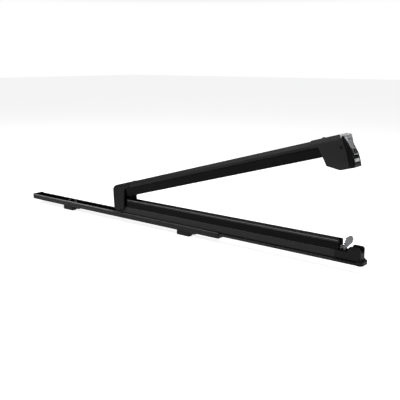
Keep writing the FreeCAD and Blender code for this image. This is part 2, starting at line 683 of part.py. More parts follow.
def latch_housing():
    points = [(LATCH_START, STRIP_T), (581.5, STRIP_T, 5.0), (591.9, 11.5, 3.5), (618.5, -1.2, 6.0)]
    points += PLATE_EDGE[:-1]
    points += [PLATE_EDGE[-1], (LATCH_START, 66.0)]
    outer = side_plate(points, -20, 20).common(bar(jaw_section(LATCH_TOP, -10.0), 550, 660))
    rooms = bar(inner_section(22.0), 550, 660)
    low_room = rooms.common(box((550, 660), (-20, 20), (-20, 31.0)))
    pad_room = rooms.common(box((550, 592.0), (-20, 20), (30, STRIP_T - 0.01)))
    high_room = side_plate([(591.0, 30.0), (660.0, 30.0), (660.0, 58.0), (596.0, 58.0, 3.0),
                            (591.0, 55.0, 2.0)], -PADDLE_HALF - 0.5, PADDLE_HALF + 0.5)
    crown_half = PADDLE_HALF + 0.5
    under_crown = bar(mirrored([(crown_half, 20.0), (crown_half, 51.5), (7.4, 60.2), (7.4, 70.0)]),
                      580, 626.0)
    ahead = box((626.0, 670), (-20, 20), (20, 80))
    high_room = high_room.common(under_crown.fuse(ahead))
    paddle_room = box((629.2, 660), (-PADDLE_HALF - 0.4, PADDLE_HALF + 0.4), (50, 70))
    shell = outer.cut(low_room).cut(pad_room).cut(high_room).cut(paddle_room)
    shell = shell.cut(rod((AXLE_S, AXLE_T), AXLE_R, -20, 20))
    shell = shell.cut(rod((AXLE_S, AXLE_T), 3.1, -20, -PADDLE_HALF - 1.6))
    shell = shell.cut(rod((AXLE_S, AXLE_T), 3.1, PADDLE_HALF + 1.6, 20))
    shell = shell.cut(rod((PAWL_S, PAWL_T), AXLE_R, -12.8, 12.8))
    shell = shell.fuse(plug_for_arm(ARM_END - 24, LATCH_START + 6))
    shell = shell.cut(post(LATCH_RIVET_S, 0, RIVET_R, 50, 70))
    return on_arm(shell)


def bezel_outline():
    """End piece seen from the side: against the plates at the back, gently bowed in front."""
    inner_edge = [(s + 0.3, t) for s, t in PLATE_EDGE[:-1]]
    front = [(633.5, 61.0, 0.6), (636.6, 60.4, 1.2), (640.4, 50.0, 20.0), (647.2, 26.0, 30.0),
             (648.8, 4.0, 8.0), (647.0, -1.6, 1.5)]
    return inner_edge + front


def front_bezel():
    outer = side_plate(bezel_outline(), -20, 20)
    inset = 0.7
    half = ARM_WIDTH / 2 + 0.4 - inset
    section = mirrored([(LEG_OUTER - inset, -10.0), (LEG_OUTER - inset, 6.0, 10.0), (half, 38.0, 20.0),
                        (half, 58.0, 2.0), (half - 2.0, 66.0)])
    bezel = outer.common(bar(section, 620, 660))
    plan = outline_face([(610.0, -16.0), (648.9, -16.0, 4.0), (648.9, 16.0, 4.0), (610.0, 16.0)],
                        lambda u, v: V(u, v, -20))
    bezel = bezel.common(plan.extrude(V(0, 0, 100)))
    pocket = box((600, POCKET_S), (-LEG_INNER, LEG_INNER), (-20, 23.0))
    wide = PADDLE_HALF + 0.5
    recess = box((600, 660), (-wide, wide), (51.5, 80))
    ear_room = box((600, 640.0), (-wide, wide), (28.0, 50.0))
    throat = bar(mirrored([(THROAT_HALF, 18.4), (THROAT_HALF, 35.0), (wide, 51.6)]), 600, 660)
    bezel = bezel.cut(pocket).cut(recess).cut(ear_room).cut(throat)
    badge_seat = box((648.0, 660), (-9.6, 9.6), (8.2, 14.8))
    return on_arm(bezel.cut(badge_seat))


def badge_plate():
    """Plain blank plate let into the end face."""
    plate = bar([(-9.4, 8.4, 0.6), (9.4, 8.4, 0.6), (9.4, 14.6, 0.6), (-9.4, 14.6, 0.6)], 648.0, 648.9)
    return on_arm(plate)


def button_axle():
    length = PADDLE_HALF + 1.6
    axle = rod((AXLE_S, AXLE_T), AXLE_R, -length, length)
    heads = [rod((AXLE_S, AXLE_T), 2.7, *sorted((side * length, side * (length + 0.7)))) for side in SIDES]
    return on_arm(axle.fuse(heads))


def button_spring():
    return on_arm(coil((AXLE_S, AXLE_T), 2.3, 0.35, -4.0, 4.0, 6))


def pawl_pin():
    return on_arm(rod((PAWL_S, PAWL_T), AXLE_R, -12.8, 12.8))


def pawl_spring():
    start = LINK_SIDE + LINK_THICK + 0.5
    return on_arm(coil((PAWL_S, PAWL_T), 2.3, 0.35, start, start + 3.3, 3))


# --- release button with its lock ---------------------------------------------------------
def button_slab():
    """Finger plate with the ears for its axle, before the lock's boss is taken off it."""
    profile = [
        (630.0, 64.4, 0.8), (634.2, 65.2, 1.6), (637.6, 61.6, 2.0), (640.2, 63.4, 1.2), (642.6, 61.2, 1.6),
        (643.2, 50.0, 20.0), (647.4, 34.0, 12.0), (649.4, 21.8, 1.0), (643.4, 21.4, 2.0),
        (640.0, 31.0, 2.0),
        (634.5, 34.0, 2.0), (AXLE_S - 0.5, 35.6, 2.5), (624.4, 39.0, 2.5), (627.0, 50.0), (629.8, 56.5)]
    slab = side_plate(list(reversed(profile)), -PADDLE_HALF, PADDLE_HALF)
    front_view = mirrored([(BOSS_HALF, 20.0), (BOSS_HALF, 36.4, 1.0), (PADDLE_HALF, 52.6, 1.0),
                           (PADDLE_HALF, 70.0)])
    low = AXLE_T - 6
    face_only = bar(front_view, 636.0, 660.0)
    rear = box((600, 636.0), (-PADDLE_HALF, PADDLE_HALF), (low, 70))
    slab = slab.common(face_only.fuse(rear))
    slab = slab.cut(box((600, 639.0), (-8.6, 8.6), (34.0, 58.5)))
    dish_r = 24.0
    dish = Part.makeCylinder(dish_r, 60, V(639.4 + dish_r, 0, 60.0), V(0.20, 0, -1))
    slab = slab.cut(dish.common(box((600, 700), (-20, 20), (BOSS_TOP, 80))))
    return slab.cut(rod((AXLE_S, AXLE_T), AXLE_R + RUNNING, -20, 20))


def button_paddle():
    plate = button_slab().cut(box((636.0, 670), (-20, 20), (0, BOSS_TOP)))
    plate = plate.cut(rod((LINK_PIN_S, LINK_PIN_T), LINK_PIN_R, -9.6, 9.6))
    return on_arm(plate)


def lock_boss():
    """Lower part of the button, which holds the lock barrel."""
    outline = [(643.4, 21.4, 1.0), (649.3, 21.8, 1.0), (646.7, BOSS_TOP), (640.4, BOSS_TOP),
               (640.4, 31.0, 1.0)]
    boss = side_plate(outline, -BOSS_HALF, BOSS_HALF)
    return on_arm(boss.cut(lock_bore(LOCK_BARREL_R)))


def lock_bore(radius):
    return Part.makeCylinder(radius, 30, V(630, 0, LOCK_T), V(1, 0, 0))


def lock_barrel():
    start = 637.0
    barrel = Part.makeCylinder(LOCK_BARREL_R, LOCK_FACE - start, V(start, 0, LOCK_T), V(1, 0, 0))
    rim = [e for e in barrel.Edges if e.Closed and abs(e.CenterOfMass.x - LOCK_FACE) < 1e-6]
    barrel = barrel.makeFillet(0.8, rim)
    bore = Part.makeCylinder(LOCK_PLUG_R + RUNNING, 40, V(start - 5, 0, LOCK_T), V(1, 0, 0))
    return on_arm(barrel.cut(bore))


def lock_plug():
    start = 637.0
    plug = Part.makeCylinder(LOCK_PLUG_R, LOCK_FACE - 0.5 - start, V(start, 0, LOCK_T), V(1, 0, 0))
    keyway = box((LOCK_FACE - 7, LOCK_FACE + 1), (-0.7, 0.7), (LOCK_T - 2.5, LOCK_T + 2.5))
    return on_arm(plug.cut(keyway))


def lock_cam():
    """Flat cam on the back of the plug."""
    cam = outline_face([(-3.4, LOCK_T - 3.4, 2.0), (3.4, LOCK_T - 3.4, 2.0), (2.4, LOCK_T + 3.8, 2.0),
                        (-2.4, LOCK_T + 3.8, 2.0)], lambda u, v: V(635.4, u, v))
    return on_arm(cam.extrude(V(1.6, 0, 0)))


def link_pin():
    return on_arm(rod((LINK_PIN_S, LINK_PIN_T), LINK_PIN_R, -9.6, 9.6))


# --- latch pawl and the link that pulls it ------------------------------------------------
def pawl():
    """Pawl that drops behind the hook's teeth; pulling its top stud swings it clear."""
    points = [(PAWL_S - 3.6, PAWL_T - 4.0, 2.5), (601.2, 31.5, 0.8), (604.2, 30.6, 0.5),
              (605.2, PAWL_T, 4.0),
              (PAWL_S + 2.6, PAWL_STUD_T + 2.4, 2.0), (PAWL_S - 2.6, PAWL_STUD_T + 2.4, 2.0)]
    body = side_plate(points, -4.0, 4.0)
    stud = rod((PAWL_S, PAWL_STUD_T), PAWL_STUD_R, 4.0, LINK_SIDE + 2.0)
    return on_arm(body.fuse(stud).cut(rod((PAWL_S, PAWL_T), AXLE_R + RUNNING, -10, 10)))


def release_link():
    """Flat link from the button's cross pin to the pawl's stud, which sits in it with play."""
    ends = ((PAWL_S, PAWL_STUD_T), (LINK_PIN_S, LINK_PIN_T))
    y0, y1 = LINK_SIDE, LINK_SIDE + LINK_THICK
    link = side_plate([(ends[0][0], ends[0][1] - 1.6), (ends[1][0], ends[1][1] - 1.6),
                       (ends[1][0], ends[1][1] + 1.6), (ends[0][0], ends[0][1] + 1.6)], y0, y1)
    link = link.fuse([rod(end, 2.7, y0, y1) for end in ends])
    link = link.cut(rod(ends[0], PAWL_STUD_R + 0.7, y0 - 1, y1 + 1))
    return on_arm(link.cut(rod(ends[1], LINK_PIN_R + RUNNING, y0 - 1, y1 + 1)))


# --- ratchet hook -------------------------------------------------------------------------


def hook_eye():
    return rod((HOOK_PIVOT_X, HOOK_PIVOT_Z), 4.4, 0, HOOK_PLATE)


def hook_plate():
    """Smooth outer plate of the hook, with a long slot in its lower limb."""
    points = [(591.9, 39.4, 1.6), (593.6, 46.6, 1.6), (600.2, 47.4, 1.5), (604.6, 50.0), (608.4, 62.0)]
    points += HOOK_TOP
    points += HOOK_FOOT + [(604.0, 30.0), (598.0, 30.0), (595.6, 36.6, 1.0)]
    plate = side_plate(points, 0, HOOK_PLATE).fuse(hook_eye())
    slot = side_plate([(594.2, 41.2, 0.8), (596.6, 40.4, 0.8), (598.2, 46.4, 0.8), (596.2, 47.4, 0.8)],
                      -1, 9)
    eye = rod((HOOK_PIVOT_X, HOOK_PIVOT_Z), HOOK_PIN_R + RUNNING, -20, 20)
    return plate.cut(slot).cut(eye)


def tooth_line():
    """Saw-tooth edge that runs up the hook, each tooth with its ledge facing down."""
    step = (TOOTH_END - TOOTH_START) * (1.0 / TOOTH_COUNT)
    inward = V(step.z, 0, -step.x).normalize()
    line = []
    for i in range(TOOTH_COUNT):
        root = TOOTH_START + step * i + inward * TOOTH_DEPTH
        tip = TOOTH_START + step * (i + 0.15)
        line += [(root.x, root.z), (tip.x, tip.z)]
    return line


def toothed_plate():
    """Inner plate with the row of teeth that the pawl drops behind."""
    points = tooth_line() + HOOK_TOP + HOOK_FOOT + [(604.6, 28.0), (598.4, 28.0), (598.6, 40.0)]
    plate = side_plate(points, -HOOK_PLATE, 0).fuse(hook_eye().translated(V(0, -HOOK_PLATE, 0)))
    return plate.cut(rod((HOOK_PIVOT_X, HOOK_PIVOT_Z), HOOK_PIN_R + RUNNING, -20, 20))


def hook_rivets():
    """Rivets that join the two plates."""
    rivets = []
    for x, z in ((613.6, 61.6), (607.4, 49.8)):
        rivets.append(rod((x, z), 1.9, -HOOK_PLATE - 0.7, -HOOK_PLATE))
        rivets.append(rod((x, z), 1.9, HOOK_PLATE, HOOK_PLATE + 0.7))
    return group(rivets)


PARTS = {
    "base_rail": base_rail, "base_end_cap": base_end_cap, "base_front_glide": base_front_glide,
    "rear_foot": lambda: foot(FOOT_X[0]), "front_foot": lambda: foot(FOOT_X[1]),
    "foot_pads": foot_pads, "foot_sleeves": foot_sleeves, "foot_screws": foot_screws,
    "stow_spring": stow_spring, "stow_spring_screw": stow_spring_screw, "travel_stop": travel_stop,
    "travel_stop_screw": travel_stop_screw, "slide_rail": slide_rail,
    "rail_rear_cap": rail_rear_cap, "glide_shoes": glide_shoes, "stow_catch": stow_catch,
    "lower_pad": lower_pad, "front_housing": front_housing, "housing_screws": housing_screws,
    "hinge_pin": hinge_pin, "pin_clip": pin_clip, "hinge_washers": hinge_washers,
    "ratchet_pin": ratchet_pin, "ratchet_spring": ratchet_spring, "upper_arm": upper_arm,
    "upper_pad": upper_pad, "upper_heel": upper_heel, "hinge_housing": hinge_housing,
    "hinge_bushes": hinge_bushes, "hinge_rivet": lambda: rivet(HINGE_RIVET_S, ARM_TOP),
    "latch_housing": latch_housing, "latch_rivet": lambda: rivet(LATCH_RIVET_S, LATCH_TOP),
    "front_bezel": front_bezel, "badge_plate": badge_plate, "button_axle": button_axle,
    "button_spring": button_spring, "pawl_pin": pawl_pin, "pawl_spring": pawl_spring,
    "button_paddle": button_paddle, "lock_boss": lock_boss, "lock_barrel": lock_barrel,
    "lock_plug": lock_plug, "lock_cam": lock_cam, "link_pin": link_pin, "pawl": pawl,
    "release_link": release_link, "hook_plate": hook_plate, "toothed_plate": toothed_plate,
    "hook_rivets": hook_rivets,
}

os.makedirs("parts", exist_ok=True)
for name, build in PARTS.items():
    shape = build()
    if not shape.isValid():
        raise ValueError(name + " is not a valid solid")
    shape.exportStep("parts/" + name + ".step")
    print(name, len(shape.Solids), "solids", round(shape.Volume), "mm3")
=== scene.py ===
"""Looks of a clamp bar for skis and snowboards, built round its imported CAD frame.

X runs along the bar, Y across it and Z up from the feet, in metres. The jaw has directions of its
own, from the hinge pin: s along the upper arm and t square to it.
"""

import math

import bmesh
import bpy
from mathutils import Matrix, Vector, noise
from mathutils.geometry import tessellate_polygon


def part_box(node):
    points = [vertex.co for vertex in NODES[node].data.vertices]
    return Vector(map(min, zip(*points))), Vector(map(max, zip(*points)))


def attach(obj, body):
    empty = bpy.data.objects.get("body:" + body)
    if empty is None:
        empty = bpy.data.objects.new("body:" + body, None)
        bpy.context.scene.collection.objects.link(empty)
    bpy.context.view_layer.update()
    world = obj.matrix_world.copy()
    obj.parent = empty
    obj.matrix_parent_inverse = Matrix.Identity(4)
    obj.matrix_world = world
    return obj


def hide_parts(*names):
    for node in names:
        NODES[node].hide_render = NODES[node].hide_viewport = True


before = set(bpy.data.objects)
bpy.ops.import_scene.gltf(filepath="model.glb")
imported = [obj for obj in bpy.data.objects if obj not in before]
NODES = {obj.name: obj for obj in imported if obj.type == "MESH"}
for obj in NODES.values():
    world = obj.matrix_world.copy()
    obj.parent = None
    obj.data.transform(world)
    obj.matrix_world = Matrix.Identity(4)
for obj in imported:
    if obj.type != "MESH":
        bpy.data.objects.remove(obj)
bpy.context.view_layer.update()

MM = 0.001
SIDES = (-1, 1)
JAW_TILT = math.radians(15.7)             # how far the jaw stands open at rest
PIVOT = Vector((-2.0, 0.0, 29.7)) * MM    # middle of the hinge pin

CAMERA_PLACE = (1.1094, -1.0764, 0.3969)
CAMERA_DROP = 12.64                       # degrees below level
CAMERA_TURN = 38.82                       # degrees to the left of straight across the bar
CAMERA_LENS = 55.96
CAMERA_SENSOR = 36.0

HORIZON_END = 0.085                       # the world is white below this height of the view line
CEILING_START = 0.13                      # and dark above this one
CEILING_COLOUR = (0.05, 0.05, 0.052, 1.0)
WHITE = (1.0, 1.0, 1.0, 1.0)
FLOOR_HALF = 12.0
FLOOR_PLACE = (0.1, 0.0, -0.0005)
FLOOR_COLOUR = (0.80, 0.80, 0.80, 1.0)
FLOOR_GLOW = 0.85                         # keeps the floor white where the lights don't reach

BEVEL_SAMPLES = 6
EDGE_STARTS, EDGE_FULL = 0.02, 0.16       # how far a rounded normal leaves the true one
SLOPE_STARTS, SLOPE_FULL = 0.43, 0.475    # side part times top part of the normal, 0.5 at 45 degrees
# over this stretch the painted shoulder highlight fades into painted shade
COVER_STARTS, COVER_FULL = -0.055, -0.02  # x where the base rail goes under the carriage
TOOTH_X, TOOTH_Z = 0.600, 0.046           # foot of the hook's toothed edge
TOOTH_LEAN = math.atan2(6.4, 20.4)
TOOTH_SHADE_BAND = (0.0046, 0.0034)              # how far in from the teeth the painted shade of their shadowed sides fades out
GROOVE_MEET = 0.0440                      # how far up the finger plate's grooves would meet
GROOVE_TURNS = 70.0                       # how closely those grooves follow each other

# Outlines of the rubber parts, in millimetres
ARC_STEPS = 3
PAD_HALF = 12.0
GAP_HALF = 4.3                            # half width of the gap in the lower pad round the hook
CENTRE_WALL = 1.2                         # half thickness of the wall between the air chambers
CHAMBER_BESIDE_GAP = 5.4
CHAMBER_OUTER = 9.4
CHAMBER_CORNER = 1.2
CHAMBER_OFF_SEAT = 4.0
CHAMBER_OFF_FACE = 4.6
RIB_OUTER = 9.4
RIB_PITCH = 2.35
RIB_PROFILE = ((0.0, 0.0, 0.25), (0.35, 0.75, 0.18), (1.05, 0.75, 0.18), (1.4, 0.0, 0.25))
RIBS = 4                                  # on each side of the middle
RIBS_BESIDE_GAP = 2
LOWER_SEAT = 39.14
HEEL_SLOT_END = 39.0                      # along the lower pad from its hinge end
HEEL_SLOT_HALF = 8.7
HEEL_SLOT_FLOOR = 44.6
GAP_START = 587.7
UPPER_FACE = 29.3
UPPER_PAD_START, UPPER_PAD_END = 32.5, 589.5
FULL_START, FULL_END = 46.8, 563.7        # full height between these, under the extrusion
SEAT_UNDER_ARM = 50.57
SEAT_UNDER_HOUSING = 50.15
HEEL_HALF = 8.0
HEEL_FOOT = 16.0
HEEL_RIDGES = 4
HEEL_RIDGE_PITCH = 2.1
HEEL_ROUNDING = 0.25
SOLE_MIDDLES = (("foot_sole_1", -205.0), ("foot_sole_3", 205.0))    # rear and front foot
SOLE_HALF = 18.2
SOLE_INNER, SOLE_OUTER = 4.9, 16.0        # across the bar, clear of the sleeve in the middle
SOLE_GROOVES = 10
SOLE_PITCH = 3.2
SOLE_GROOVE_DEPTH = 0.9
SOLE_CORNER = 0.4
SOLE_ROUNDING = 0.2

# Walls of the rubber parts
WAVER = 0.00006                           # how far a drawn wall wanders, in metres
WAVER_ALONG, WAVER_ACROSS = 22.0, 160.0   # wanderings per metre
WAVER_UPWARD = 0.6                        # share of the wandering that goes up and down
RING_SPACING = 0.008                      # between the rings along a strip, in metres
SHARP_ANGLE = math.radians(38.0)          # corners over this stay sharp
ROUND_ANGLE = math.radians(35)            # edges over this are rounded


# --- camera, lights and floor -------------------------------------------------------------
def add_to_scene(name, data):
    made = bpy.data.objects.new(name, data)
    bpy.context.scene.collection.objects.link(made)
    return made


def make_camera():
    data = bpy.data.cameras.new("camera")
    data.sensor_width = CAMERA_SENSOR
    data.lens = CAMERA_LENS
    data.clip_start = 0.05
    data.clip_end = 30.0
    cam = add_to_scene("camera", data)
    cam.location = CAMERA_PLACE
    cam.rotation_euler = (math.radians(90 - CAMERA_DROP), 0.0, math.radians(CAMERA_TURN))
    bpy.context.scene.camera = cam


def area_light(name, place, target, size, watts):
    data = bpy.data.lights.new(name, "AREA")
    data.shape = "RECTANGLE"
    data.size, data.size_y = size
    data.energy = watts
    lamp = add_to_scene(name, data)
    lamp.location = place
    aim = Vector(target) - Vector(place)
    lamp.rotation_euler = aim.to_track_quat("-Z", "Y").to_euler()


def make_lights():
    area_light("key", (1.7, -1.3, 1.1), (0.3, 0.0, 0.1), (0.9, 1.0), 4.0)
    area_light("rim", (-1.15, -0.40, 1.60), (0.15, 0.0, 0.05), (0.65, 0.65), 18.0)
    area_light("overhead", (0.0, -0.45, 1.7), (0.0, 0.0, 0.0), (2.4, 0.5), 8.0)
    area_light("far_fill", (1.0, 1.1, 1.35), (0.6, 0.0, 0.2), (0.8, 0.8), 9.0)


def make_world():
    """White round the horizon, falling to grey overhead, like a lit sweep under a dim ceiling."""
    world = bpy.data.worlds.new("studio")
    world.use_nodes = True
    bpy.context.scene.world = world
    tree = world.node_tree
    back = tree.nodes["Background"]
    where = tree.nodes.new("ShaderNodeTexCoord")
    split = tree.nodes.new("ShaderNodeSeparateXYZ")
    ramp = tree.nodes.new("ShaderNodeValToRGB")
    tree.links.new(where.outputs["Generated"], split.inputs[0])
    tree.links.new(split.outputs["Z"], ramp.inputs[0])
    low, high = ramp.color_ramp.elements
    low.position, low.color = HORIZON_END, WHITE
    high.position, high.color = CEILING_START, CEILING_COLOUR
    tree.links.new(ramp.outputs[0], back.inputs["Color"])
    back.inputs["Strength"].default_value = 1.0


def make_floor():
    mesh = bpy.data.meshes.new("floor")
    corners = [(-FLOOR_HALF, -FLOOR_HALF, 0), (FLOOR_HALF, -FLOOR_HALF, 0),
               (FLOOR_HALF, FLOOR_HALF, 0), (-FLOOR_HALF, FLOOR_HALF, 0)]
    mesh.from_pydata(corners, [], [(0, 1, 2, 3)])
    floor = add_to_scene("floor", mesh)
    floor.location = FLOOR_PLACE
    mat = bpy.data.materials.new("floor_white")
    mat.use_nodes = True
    skin = mat.node_tree.nodes["Principled BSDF"]
    skin.inputs["Base Color"].default_value = FLOOR_COLOUR
    skin.inputs["Roughness"].default_value = 0.9
    skin.inputs["Specular IOR Level"].default_value = 0.1
    skin.inputs["Emission Color"].default_value = WHITE
    skin.inputs["Emission Strength"].default_value = FLOOR_GLOW
    mesh.materials.append(mat)


# --- procedural materials -----------------------------------------------------------------
class Finish:
    """A material under way: short calls add its nodes, and done() closes it."""

    def __init__(self, name, base, rough, metallic=0.0, specular=0.5):
        self.mat = bpy.data.materials.new(name)
        self.mat.use_nodes = True
        self.tree = self.mat.node_tree
        self.skin = self.tree.nodes["Principled BSDF"]
        self.skin.inputs["Metallic"].default_value = metallic
        self.skin.inputs["Specular IOR Level"].default_value = specular
        self.colour = base
        self.rough = rough
        self.height = None
        self.where = self.node("ShaderNodeTexCoord").outputs["Object"]

    def node(self, kind, **fields):
        made = self.tree.nodes.new(kind)
        for key, value in fields.items():
            setattr(made, key, value)
        return made

    def plug(self, socket, source):
        """Gives a socket a number, a colour or the output of another node."""
        if isinstance(source, (int, float)):
            socket.default_value = source
        elif isinstance(source, tuple):
            socket.default_value = source + (1.0,)
        else:
            self.tree.links.new(source, socket)

    def coords(self, scale, tilt=0.0):
        """Object coordinates, stretched per axis; tilt turns them onto the jaw's direction."""
        source = self.where
        if tilt:
            turn = self.node("ShaderNodeMapping", vector_type="POINT")
            self.plug(turn.inputs["Vector"], source)
            turn.inputs["Rotation"].default_value = (0.0, tilt, 0.0)
            source = turn.outputs[0]
        grow = self.node("ShaderNodeMapping", vector_type="POINT")
        self.plug(grow.inputs["Vector"], source)
        grow.inputs["Scale"].default_value = scale
        return grow.outputs[0]

    def noise(self, scale, detail, roughness, tilt=0.0):
        """Clouds, with scale of them in a metre along each axis."""
        made = self.node("ShaderNodeTexNoise")
        self.plug(made.inputs["Vector"], self.coords(scale, tilt))
        made.inputs["Scale"].default_value = 1.0
        made.inputs["Detail"].default_value = detail
        made.inputs["Roughness"].default_value = roughness
        return made.outputs[0]

    def cells(self, scale, feature):
        """Distance to the nearest of scattered points, with scale of them in a metre."""
        made = self.node("ShaderNodeTexVoronoi", feature=feature)
        self.plug(made.inputs["Vector"], self.coords(scale))
        made.inputs["Scale"].default_value = 1.0
        return made.outputs["Distance"]

    def remap(self, source, low, high, to_low=0.0, to_high=1.0):
        """Spreads low to high over to_low to to_high, and holds the ends beyond them."""
        made = self.node("ShaderNodeMapRange", clamp=True)
        self.plug(made.inputs["Value"], source)
        made.inputs["From Min"].default_value = low
        made.inputs["From Max"].default_value = high
        made.inputs["To Min"].default_value = to_low
        made.inputs["To Max"].default_value = to_high
        return made.outputs[0]

    def math(self, operation, first, second=0.0):
        made = self.node("ShaderNodeMath", operation=operation)
        self.plug(made.inputs[0], first)
        self.plug(made.inputs[1], second)
        return made.outputs[0]

    def axes(self, vector):
        """The X, Y and Z outputs of a vector."""
        split = self.node("ShaderNodeSeparateXYZ")
        self.plug(split.inputs[0], vector)
        return split.outputs

    def tint(self, mask, colour, amount=1.0):
        """Blends the colour so far towards another one where the mask is white."""
        made = self.node("ShaderNodeMix", data_type="RGBA")
        self.plug(made.inputs["Factor"], self.math("MULTIPLY", mask, amount))
        self.plug(made.inputs["A"], self.colour)
        self.plug(made.inputs["B"], colour)
        self.colour = made.outputs["Result"]

    def roughen(self, mask, amount):
        self.rough = self.math("ADD", self.rough, self.math("MULTIPLY", mask, amount))

    def relief(self, source, depth):
        """Adds depth metres of height to the surface."""
        scaled = self.math("MULTIPLY", source, depth)
        self.height = scaled if self.height is None else self.math("ADD", self.height, scaled)

    def rounded_normal(self, radius):
        made = self.node("ShaderNodeBevel", samples=BEVEL_SAMPLES)
        made.inputs["Radius"].default_value = radius
        return made.outputs[0]

    def edge_mask(self, radius):
        """White along corners, from how far a rounded normal leaves the true one."""
        soft = self.rounded_normal(radius)
        flat = self.node("ShaderNodeNewGeometry").outputs["Normal"]
        dot = self.node("ShaderNodeVectorMath", operation="DOT_PRODUCT")
        self.plug(dot.inputs[0], soft)
        self.plug(dot.inputs[1], flat)
        return self.remap(dot.outputs["Value"], 1.0 - EDGE_STARTS, 1.0 - EDGE_FULL)

    def shoulder_mask(self):
        """White on the sloped shoulders along the bar, half way between a side and a top, where a
        painted highlight goes.
        """
        normal = self.axes(self.node("ShaderNodeNewGeometry").outputs["True Normal"])
        slope = self.math("MULTIPLY", self.math("ABSOLUTE", normal["Y"]), normal["Z"])
        return self.remap(slope, SLOPE_STARTS, SLOPE_FULL)

    def done(self, edge):
        """Closes the material: the relief lies over corners that look rounded by edge metres."""
        soft = self.rounded_normal(edge)
        self.plug(self.skin.inputs["Base Color"], self.colour)
        self.plug(self.skin.inputs["Roughness"], self.rough)
        bump = self.node("ShaderNodeBump")
        bump.inputs["Strength"].default_value = 1.0
        bump.inputs["Distance"].default_value = 1.0
        self.plug(bump.inputs["Height"], self.height)
        self.plug(bump.inputs["Normal"], soft)
        self.plug(self.skin.inputs["Normal"], bump.outputs[0])
        return self.mat


def black_aluminium(name, specular, tilt=0.0, shoulder_highlight=0.0, highlight_under_carriage=1.0):
    """Satin black anodised extrusion: die lines along the bar, rubbed edges and fine scratches; the
    rubbed edges are lightened partly as wear and partly as a painted highlight.

    shoulder_highlight is the tone of a painted highlight on the sloped shoulders, and
    highlight_under_carriage is how much of it is left under the carriage, as painted shade there.
    """
    f = Finish(name, (0.0085, 0.0085, 0.0092), 0.40, specular=specular)
    lines = f.noise((3.0, 1500.0, 1500.0), 3.0, 0.6, tilt)
    broad = f.noise((5.0, 120.0, 120.0), 2.0, 0.5, tilt)
    cloud = f.noise((14.0, 40.0, 40.0), 3.0, 0.6, tilt)
    f.tint(f.remap(lines, 0.35, 0.75), (0.016, 0.016, 0.017), 0.55)
    f.tint(f.remap(cloud, 0.45, 0.75), (0.013, 0.013, 0.014), 0.5)
    scratch = f.remap(f.noise((30.0, 900.0, 900.0), 1.0, 0.5, tilt), 0.71, 0.76)
    f.tint(scratch, (0.06, 0.06, 0.062), 0.35)
    # edges lightened in patches: partly wear, partly a painted highlight
    edges = f.edge_mask(0.0005)
    patches = f.remap(f.noise((60.0, 90.0, 90.0), 4.0, 0.7, tilt), 0.40, 0.66)
    f.tint(f.math("MULTIPLY", edges, patches), (0.16, 0.16, 0.165), 0.55)
    # painted highlight: the sloped shoulders are lightened, and dimmed under the carriage as painted
    # shade
    if shoulder_highlight:
        carriage_shade_fade = f.remap(f.axes(f.where)["X"], COVER_STARTS, COVER_FULL, 1.0, highlight_under_carriage)
        highlit_shoulders = f.math("MULTIPLY", f.shoulder_mask(), f.remap(lines, 0.25, 0.60, 0.75, 1.0))
        f.tint(f.math("MULTIPLY", highlit_shoulders, carriage_shade_fade), (shoulder_highlight, shoulder_highlight, shoulder_highlight * 1.03))
    f.roughen(f.remap(lines, 0.3, 0.7), 0.10)
    f.roughen(f.remap(cloud, 0.4, 0.7), 0.06)
    f.relief(lines, 0.000012)
    f.relief(broad, 0.00002)
    return f.done(0.0004)


def moulded(name, base, rough, grain=0.00003, specular=0.20, corner_highlight=0.35):
    """Moulded nylon: spark-eroded grain, slight flow marks and polished corners, which are also
    lightened as a painted highlight.
    """
    f = Finish(name, base, rough, specular=specular)
    pores = f.cells((1700.0, 1700.0, 1700.0), "SMOOTH_F1")
    fine = f.noise((2600.0, 2600.0, 2600.0), 2.0, 0.6)
    flow = f.noise((26.0, 34.0, 30.0), 4.0, 0.55)
    lighter = tuple(c * 1.7 + 0.002 for c in base)
    f.tint(f.remap(flow, 0.42, 0.70), lighter, 0.45)
    f.tint(f.remap(fine, 0.55, 0.8), lighter, 0.35)
    edges = f.edge_mask(0.0007)
    patches = f.remap(f.noise((130.0, 130.0, 130.0), 3.0, 0.65), 0.38, 0.62)
    corner_polish_and_highlight = f.math("MULTIPLY", edges, patches)
    # painted highlight: the polished corners are lightened in colour
    f.tint(corner_polish_and_highlight, tuple(c * 3.0 + 0.02 for c in base), corner_highlight)
    f.roughen(corner_polish_and_highlight, -0.10)
    f.roughen(f.remap(flow, 0.35, 0.65), 0.07)
    f.relief(pores, grain)
    f.relief(fine, grain * 0.5)
    return f.done(0.0006)


def pad_rubber(name, tone, specular, tilt=0.0, shoulder_highlight=0.0):
    """Extruded rubber: drawn lines, a faint bloom, a few dust specks and a painted highlight on the
    sloped shoulders.
    """
    f = Finish(name, (tone, tone, tone * 1.07), 0.52, specular=specular)
    drawn = f.noise((12.0, 1100.0, 1100.0), 2.0, 0.6, tilt)
    skin = f.noise((900.0, 900.0, 900.0), 3.0, 0.6)
    bloom = f.noise((18.0, 60.0, 60.0), 4.0, 0.6, tilt)
    f.tint(f.remap(bloom, 0.45, 0.72), (tone * 2.2, tone * 2.2, tone * 2.3), 0.6)
    # painted highlight along the pad's sloped near edge
    if shoulder_highlight:
        f.tint(f.shoulder_mask(), (shoulder_highlight, shoulder_highlight, shoulder_highlight))
    dust = f.remap(f.cells((330.0, 330.0, 330.0), "F1"), 0.10, 0.05)
    sparse = f.remap(f.noise((45.0, 70.0, 70.0), 2.0, 0.5), 0.56, 0.68)
    f.tint(f.math("MULTIPLY", dust, sparse), (0.09, 0.088, 0.085), 0.5)
    f.roughen(f.remap(bloom, 0.4, 0.7), 0.14)
    f.roughen(f.remap(skin, 0.4, 0.7), 0.05)
    f.relief(drawn, 0.000014)
    f.relief(skin, 0.00003)
    return f.done(0.0005)


